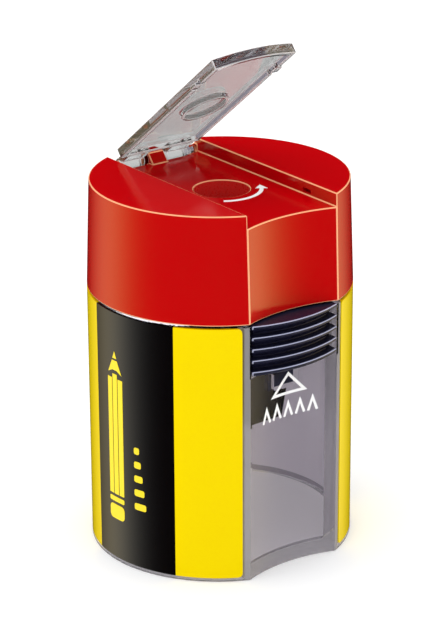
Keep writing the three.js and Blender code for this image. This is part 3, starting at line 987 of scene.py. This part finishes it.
def make_carrier():
    plate = body_column([(PLATE_Z, 1.3, 1.3), (PLATE_TOP, 1.3, 1.3)], cap=True)
    low = PLATE_Z - SOCKET_DEPTH
    front, back = HOLE_Y - SOCKET_FRONT, HOLE_Y + SOCKET_BACK
    socket = wide_block(
        SOCKET_HALF + SOCKET_WALL, front - SOCKET_WALL, back + SOCKET_WALL, low, PLATE_Z + 0.5,
    )
    cut(socket, wide_block(SOCKET_HALF, front, back, low - 1, PLATE_Z))
    join(plate, socket)
    way_radius = HOLE_RADIUS + 0.4
    cut(plate, turned([(way_radius, PLATE_Z - 1), (way_radius, PLATE_TOP + 1)], y=HOLE_Y))
    round_edges(plate, 0.18, 2)
    return finished(plate, "carrier", "head", [navy_plastic], ["sharpener_carrier"])


def lean(obj):
    """From the blade seat's own frame to the sharpener: +Y away from the seat, origin at its top."""
    obj.data.transform(Matrix.Rotation(-POINT_ANGLE, 4, "X"))
    obj.data.transform(Matrix.Translation((0, HOLE_Y + SEAT_TOP, WEDGE_TOP)))
    return obj


def seat_drum(radius, low, high):
    """A drum along the seat's +Y, on the screw's axis."""
    drum = turned([(radius, low), (radius, high)], steps=40)
    drum.data.transform(Matrix.Rotation(-math.pi / 2, 4, "X"))
    drum.data.transform(Matrix.Translation((BLADE_X, 0, BLADE_MIDDLE)))
    return drum


def make_wedge():
    half, tip, bottom = WEDGE_HALF, WEDGE_TIP, WEDGE_TOP - WEDGE_LENGTH
    taper = bottom + 4.7
    outline = [
        (-half, WEDGE_TOP), (-half, taper), (-tip, bottom), (tip, bottom), (half, taper), (half, WEDGE_TOP),
    ]
    ends = (HOLE_Y - WEDGE_THICK_HALF, HOLE_Y + WEDGE_THICK_HALF)
    wedge = loft([[(x, y, z) for x, z in outline] for y in ends])
    seat = lean(wide_block(40, 0, 20, -60, 30))
    slope = math.tan(POINT_ANGLE)
    cone = turned(
        [
            (CONE_RADIUS - CONE_DEPTH * slope, WEDGE_TOP - CONE_DEPTH), (CONE_RADIUS, WEDGE_TOP),
            (CONE_RADIUS, WEDGE_TOP + 1),
        ],
        y=HOLE_Y,
    )
    grooves = []
    for k in range(6):
        z = bottom + 6.6 + 1.7 * k
        for side in (-1, 1):
            near, far = span(side, half - 0.35, half + 1)
            grooves.append(block((near, HOLE_Y - 8, z), (far, HOLE_Y + 8, z + 0.7)))
    cut(wedge, seat, cone, lean(seat_drum(SCREW_HOLE, -5.0, 1.0)), *grooves)
    round_edges(wedge, 0.15, 2, edge_slot=1)
    slots = [black_casting, casting_edge]
    return finished(wedge, "wedge", "head", slots, ["sharpener_body"])


def make_blade():
    left, right = BLADE_X - BLADE_HALF, BLADE_X + BLADE_HALF
    ends = (BLADE_MIDDLE - BLADE_HALF_LENGTH, BLADE_MIDDLE + BLADE_HALF_LENGTH)
    bevel_width, edge_thick = 1.7, 0.06
    top = BLADE_LIFT + BLADE_THICK
    section = [
        (left, BLADE_LIFT), (right, BLADE_LIFT), (right, top), (left + bevel_width, top),
        (left, BLADE_LIFT + edge_thick),
    ]
    blade = loft([[(x, y, z) for x, y in section] for z in ends])
    cut(blade, seat_drum(SCREW_HOLE, -2.0, 3.0))
    lean(blade)
    round_edges(blade, 0.03, 1)
    return finished(blade, "blade_strip", "head", [blade_steel], ["blade"], smooth=20)


def make_screw():
    shank, head, top = 1.2, 2.5, BLADE_THICK + 0.6
    profile = [
        (0.7, -4.0), (shank, -3.5), (shank, top), (head, top), (head, top + 0.5), (2.3, top + 0.85),
        (1.7, top + 1.12), (0.9, top + 1.2),
    ]
    screw = turned(profile, steps=40)
    cut(screw, block((-3, -0.35, top + 0.65), (3, 0.35, top + 2)))
    screw.data.transform(Matrix.Rotation(-math.pi / 2, 4, "X"))
    screw.data.transform(Matrix.Translation((BLADE_X, 0, BLADE_MIDDLE)))
    lean(screw)
    round_edges(screw, 0.08, 2)
    return finished(screw, "screw", "head", [screw_steel], ["blade_screw"])


# ---- Lid, drawn closed with its hinge axis as the origin ----

LID_HALF = FACE_HALF - 0.9
LID_TOP = HEIGHT - 0.1 - HINGE_Z
LID_LOW = LID_TOP - 1.6
LID_UNDER = LID_TOP - 0.85
LID_FRONT = -TOP_CORNER_Y + 1.06 - HINGE_Y
LID_REAR = -2.9
LIP_CURVE = 1.4
SLIT_REACH, SLIT_HALF = 1.05, 0.25
NUB_HALF = 0.8
RING_OUTER, RING_INNER, RING_DROP = 3.9, 3.4, 0.95
KNUCKLE_RADIUS = 1.15
PIN_HALF = 7.65
LID_RIM, LID_EDGE = 1, 2


def lid_outline(inset):
    half, front, rear = LID_HALF - inset, LID_FRONT + inset, LID_REAR - inset
    points = [(half, rear), (-half, rear)]
    steps = 24
    for i in range(steps + 1):
        share = i / steps
        points.append((-half + 2 * half * share, front - 4 * LIP_CURVE * share * (1 - share)))
    return points


def lid_prism(inset, low, high):
    outline = lid_outline(inset)[::-1]
    return loft([at_height(outline, low), at_height(outline, high)])


def make_lid():
    lid = lid_prism(0, LID_LOW, LID_TOP)
    cut(lid, lid_prism(0.8, LID_LOW - 1, LID_UNDER))
    slits = []
    for end in (-1, 1):
        y = NUB_Y + end * SLIT_REACH
        for side in (-1, 1):
            near, far = span(side, LID_HALF - 0.9, LID_HALF + 1)
            slits.append(block((near, y - SLIT_HALF, LID_LOW - 1), (far, y + SLIT_HALF, LID_UNDER)))
    cut(lid, *slits)
    extras = []
    for side in (-1, 1):
        near, far = span(side, LID_HALF - 0.6, LID_HALF + 0.6)
        extras.append(block((near, NUB_Y - NUB_HALF, LID_LOW), (far, NUB_Y + NUB_HALF, LID_LOW + 0.55)))
        near, far = span(side, 2.1, 6.2)
        extras.append(block((near, LID_REAR - 0.4, 0.0), (far, 0.0, 1.1)))
        extras.append(cross_bar(KNUCKLE_RADIUS, near, far, 0.0, 0.0))
    ring_y = HOLE_Y - HINGE_Y
    ring_low, ring_high = LID_UNDER - RING_DROP, LID_TOP - 0.425
    ring = turned([(RING_OUTER, ring_low), (RING_OUTER, ring_high)], y=ring_y, steps=72)
    cut(ring, turned([(RING_INNER, LID_UNDER - 2), (RING_INNER, LID_TOP)], y=ring_y, steps=72))
    join(lid, ring, *extras)
    join(lid, cross_bar(HINGE_RADIUS, -PIN_HALF, PIN_HALF, 0.0, 0.0))
    # The rounded edges take the painted highlight slot.
    round_edges(lid, 0.13, 3, edge_slot=LID_EDGE, angle=50)
    # Upright faces along the lid's sides and front lip take the darker painted shade.
    for polygon in lid.data.polygons:
        x, y, _ = polygon.center
        at_rim = abs(x) > LID_HALF - 0.9 or y < LID_FRONT + 0.1 or (abs(x) < 7 and y < LID_FRONT + 0.9)
        if polygon.material_index != LID_EDGE:
            polygon.material_index = LID_RIM if at_rim and abs(polygon.normal.z) < 0.6 else 0
    lid.data.transform(Matrix.Rotation(-OPEN_ANGLE, 4, "X"))
    lid.data.transform(Matrix.Translation((0, HINGE_Y, HINGE_Z)))
    return finished(lid, "clear_lid", "lid", [smoke_lid, lid_rim_shade, lid_edge_highlight], ["lid"])


# ---- Moulded and printed marks ----


def on_label(side):
    return lambda s, t, lift: on_tub(side, s / SIDE_RADIUS, t, lift)


def on_face(side):
    def place(s, t, lift):
        y = -(CORNER_Y - FACE_HOLLOW + FACE_RADIUS) + math.sqrt(FACE_RADIUS ** 2 - s ** 2) - lift
        return (s, y, t) if side < 0 else (-s, -y, t)
    return place


def on_channel(s, t, lift):
    return (s, t, CHANNEL_Z + lift)


def press_marks():
    shapes = stroke([(0.0, 31.5), (-2.95, 28.4), (2.95, 28.4)], 0.45, closed=True)
    for k in range(5):
        x = -4.4 + 2.2 * k
        shapes += stroke([(x - 0.75, 24.6), (x, 26.7), (x + 0.75, 24.6)], 0.42)
    return shapes


def turn_arrow():
    """A curved arrow beside the pencil hole, drawn as (x, y) on the channel floor."""
    radius, start, stop = 6.05, -124, -36
    points = []
    for i in range(25):
        turn = math.radians(start + (stop - start) * i / 24)
        points.append((radius * math.cos(turn), HOLE_Y + radius * math.sin(turn)))
    shapes = stroke(points, 0.62)
    tip = math.radians(stop + 16)
    for side in (-1, 1):
        base = math.radians(stop)
        reach = radius + side * 0.95
        shapes.append([
            (radius * math.cos(base), HOLE_Y + radius * math.sin(base)),
            (reach * math.cos(base), HOLE_Y + reach * math.sin(base)),
            (radius * math.cos(tip), HOLE_Y + radius * math.sin(tip)),
        ][::side])
    return shapes

# ---- Build ----

make_cap()
make_tub()
make_label(-1, "label_left_film", "label_left")
make_label(1, "label_right_film", "label_right")
for side, word in ((-1, "left"), (1, "right")):
    name = "label_" + word + "_pictures"
    printed(name, label_pictures(), on_label(side), "base", yellow_ink)
make_grip("grip_front", "press_grip_front", "grip_front", False)
make_grip("grip_back", "press_grip_back", "grip_back", True)
make_carrier()
make_wedge()
make_blade()
make_screw()
make_lid()
for side, word in ((-1, "front"), (1, "back")):
    printed("press_marks_" + word, press_marks(), on_face(side), "base", white_ink)
printed("turn_arrow", turn_arrow(), on_channel, "head", white_ink)

# ---- Floor, light and camera ----


VIEW_TURN = math.radians(36.90)
CAMERA_TILT = math.radians(21.22)
CAMERA_ROLL = math.radians(0.24)
CAMERA_DISTANCE = 410.6
CAMERA_LENS = 148.72
SHIFT_RIGHT, SHIFT_UP = -0.57, -4.55
CARD_COLOR = (1.0, 0.82, 0.45)
FLOOR_RADIUS, FLOOR_Z = 4.0, -0.00005


def pale_floor():
    """A wide disc that glows slightly, so that it stays pale, and that gloss doesn't mirror."""
    bm = bmesh.new()
    rings, steps = 24, 96
    rows = []
    for i in range(1, rings + 1):
        r = FLOOR_RADIUS * (i / rings) ** 2
        rows.append([bm.verts.new((r * math.cos(t), r * math.sin(t), FLOOR_Z)) for t in full_turn(steps)])
    bm.faces.new(rows[0])
    for inner, outer in zip(rows, rows[1:]):
        for j in range(steps):
            k = (j + 1) % steps
            bm.faces.new((inner[j], outer[j], outer[k], inner[k]))
    floor = mesh_object(bm, "pale_floor")
    material, tree, shader = principled(
        "pale_floor_paint", Roughness=0.9, Specular_IOR_Level=0.0, Emission_Strength=0.22,
    )
    place = add(tree, "ShaderNodeTexCoord").outputs["Object"]
    cloud = noise_on(tree, place, 6.0, 2.0)
    color = mixed(tree, cloud.outputs["Fac"], (0.75, 0.75, 0.75, 1), (0.73, 0.73, 0.735, 1))
    tree.links.new(color, shader.inputs["Base Color"])
    floor.data.materials.append(material)
    floor.visible_glossy = False


def soft_light(name, place, target, width, height, power):
    lamp = bpy.data.lights.new(name, "AREA")
    lamp.shape = "RECTANGLE"
    lamp.size, lamp.size_y = width, height
    lamp.energy = power
    obj = bpy.data.objects.new(name, lamp)
    bpy.context.scene.collection.objects.link(obj)
    obj.location = place
    direction = Vector(target) - Vector(place)
    obj.rotation_mode = "QUATERNION"
    obj.rotation_quaternion = direction.to_track_quat("-Z", "Y")
    return obj


def beside_camera(degrees, distance, height):
    """A place round the object, in degrees from the camera: left is negative."""
    turn = -VIEW_TURN + math.radians(degrees)
    return (distance * math.sin(turn), -distance * math.cos(turn), height)


def glow_card(name, middle, spread, strength):
    """A curved warm card beside the object that only gloss mirrors, brightest at its middle."""
    distance, steps, half_height = 1.0, 48, 0.9
    reach, fall = 2.2 * spread, 2.77
    bm = bmesh.new()
    glow = bm.verts.layers.float_vector.new("glow")
    rows = []
    for i in range(steps + 1):
        offset = -reach + 2 * reach * i / steps
        column = []
        for height in (-half_height, half_height):
            vert = bm.verts.new(beside_camera(middle + offset, distance, height))
            share = math.exp(-fall * (offset / spread) ** 2)
            vert[glow] = tuple(strength * share * part for part in CARD_COLOR)
            column.append(vert)
        rows.append(column)
    for first, second in zip(rows, rows[1:]):
        bm.faces.new((first[0], second[0], second[1], first[1]))
    card = mesh_object(bm, name)
    material, tree, shader = principled(name + "_glow", Roughness=1.0)
    shader.inputs["Base Color"].default_value = (0, 0, 0, 1)
    shader.inputs["Emission Strength"].default_value = 1.0
    value = add(tree, "ShaderNodeAttribute", attribute_name="glow")
    tree.links.new(value.outputs["Color"], shader.inputs["Emission Color"])
    material.cycles.emission_sampling = "NONE"
    card.data.materials.append(material)
    card.visible_camera = card.visible_diffuse = card.visible_transmission = card.visible_shadow = False


def studio_air():
    """Even soft light from all round. Gloss mirrors it faintly; through clear plastic it stays bright."""
    in_mirror, mirror_through_plastic = 0.02, 0.12
    world = bpy.data.worlds.new("studio_air")
    world.use_nodes = True
    tree = world.node_tree
    air = tree.nodes["Background"]
    air.inputs["Color"].default_value = (1.0, 1.0, 1.0, 1.0)
    path = add(tree, "ShaderNodeLightPath")
    through = path.outputs["Is Transmission Ray"]
    mirrored = math_of(tree, path.outputs["Is Glossy Ray"], through, "SUBTRACT")
    mirrored_first = math_of(tree, path.outputs["Glossy Depth"], through, "MULTIPLY")
    strength = ranged(tree, mirrored, 0.0, 1.0, 1.0, in_mirror)
    strength = ranged(tree, mirrored_first, 0.0, 1.0, strength, mirror_through_plastic)
    tree.links.new(strength, air.inputs["Strength"])
    world.cycles.sampling_method = "NONE"
    bpy.context.scene.world = world


def make_camera():
    turn, tilt = VIEW_TURN, CAMERA_TILT
    right = Vector((math.cos(turn), -math.sin(turn), 0))
    level = Vector((math.sin(turn), math.cos(turn), 0))
    forward = level * math.cos(tilt) + Vector((0, 0, -math.sin(tilt)))
    up = level * math.sin(tilt) + Vector((0, 0, math.cos(tilt)))
    place = -right * SHIFT_RIGHT - up * SHIFT_UP - forward * CAMERA_DISTANCE + Vector((0, 0, 30))
    rolled_right = right * math.cos(CAMERA_ROLL) - up * math.sin(CAMERA_ROLL)
    rolled_up = right * math.sin(CAMERA_ROLL) + up * math.cos(CAMERA_ROLL)
    camera = bpy.data.objects.new("camera", bpy.data.cameras.new("camera"))
    bpy.context.scene.collection.objects.link(camera)
    camera.data.sensor_width = 36
    camera.data.lens = CAMERA_LENS
    camera.data.clip_start, camera.data.clip_end = 0.01, 20
    matrix = Matrix((rolled_right, rolled_up, -forward)).transposed().to_4x4()
    matrix.translation = place * MM
    camera.matrix_world = matrix
    bpy.context.scene.camera = camera


pale_floor()
glow_card("left_card", -101, 44, 1.85)
glow_card("right_card", 103, 42, 2.8)
top_panel = soft_light("top_panel", beside_camera(-50, 0.25, 1.3), (0, 0, 0.03), 1.2, 1.2, 9.0)
top_panel.visible_glossy = False
studio_air()
bpy.context.scene.view_settings.view_transform = "Standard"
make_camera()

light_paths = bpy.context.scene.cycles
light_paths.max_bounces = 32
light_paths.glossy_bounces = 16
light_paths.transmission_bounces = 32
light_paths.diffuse_bounces = 5
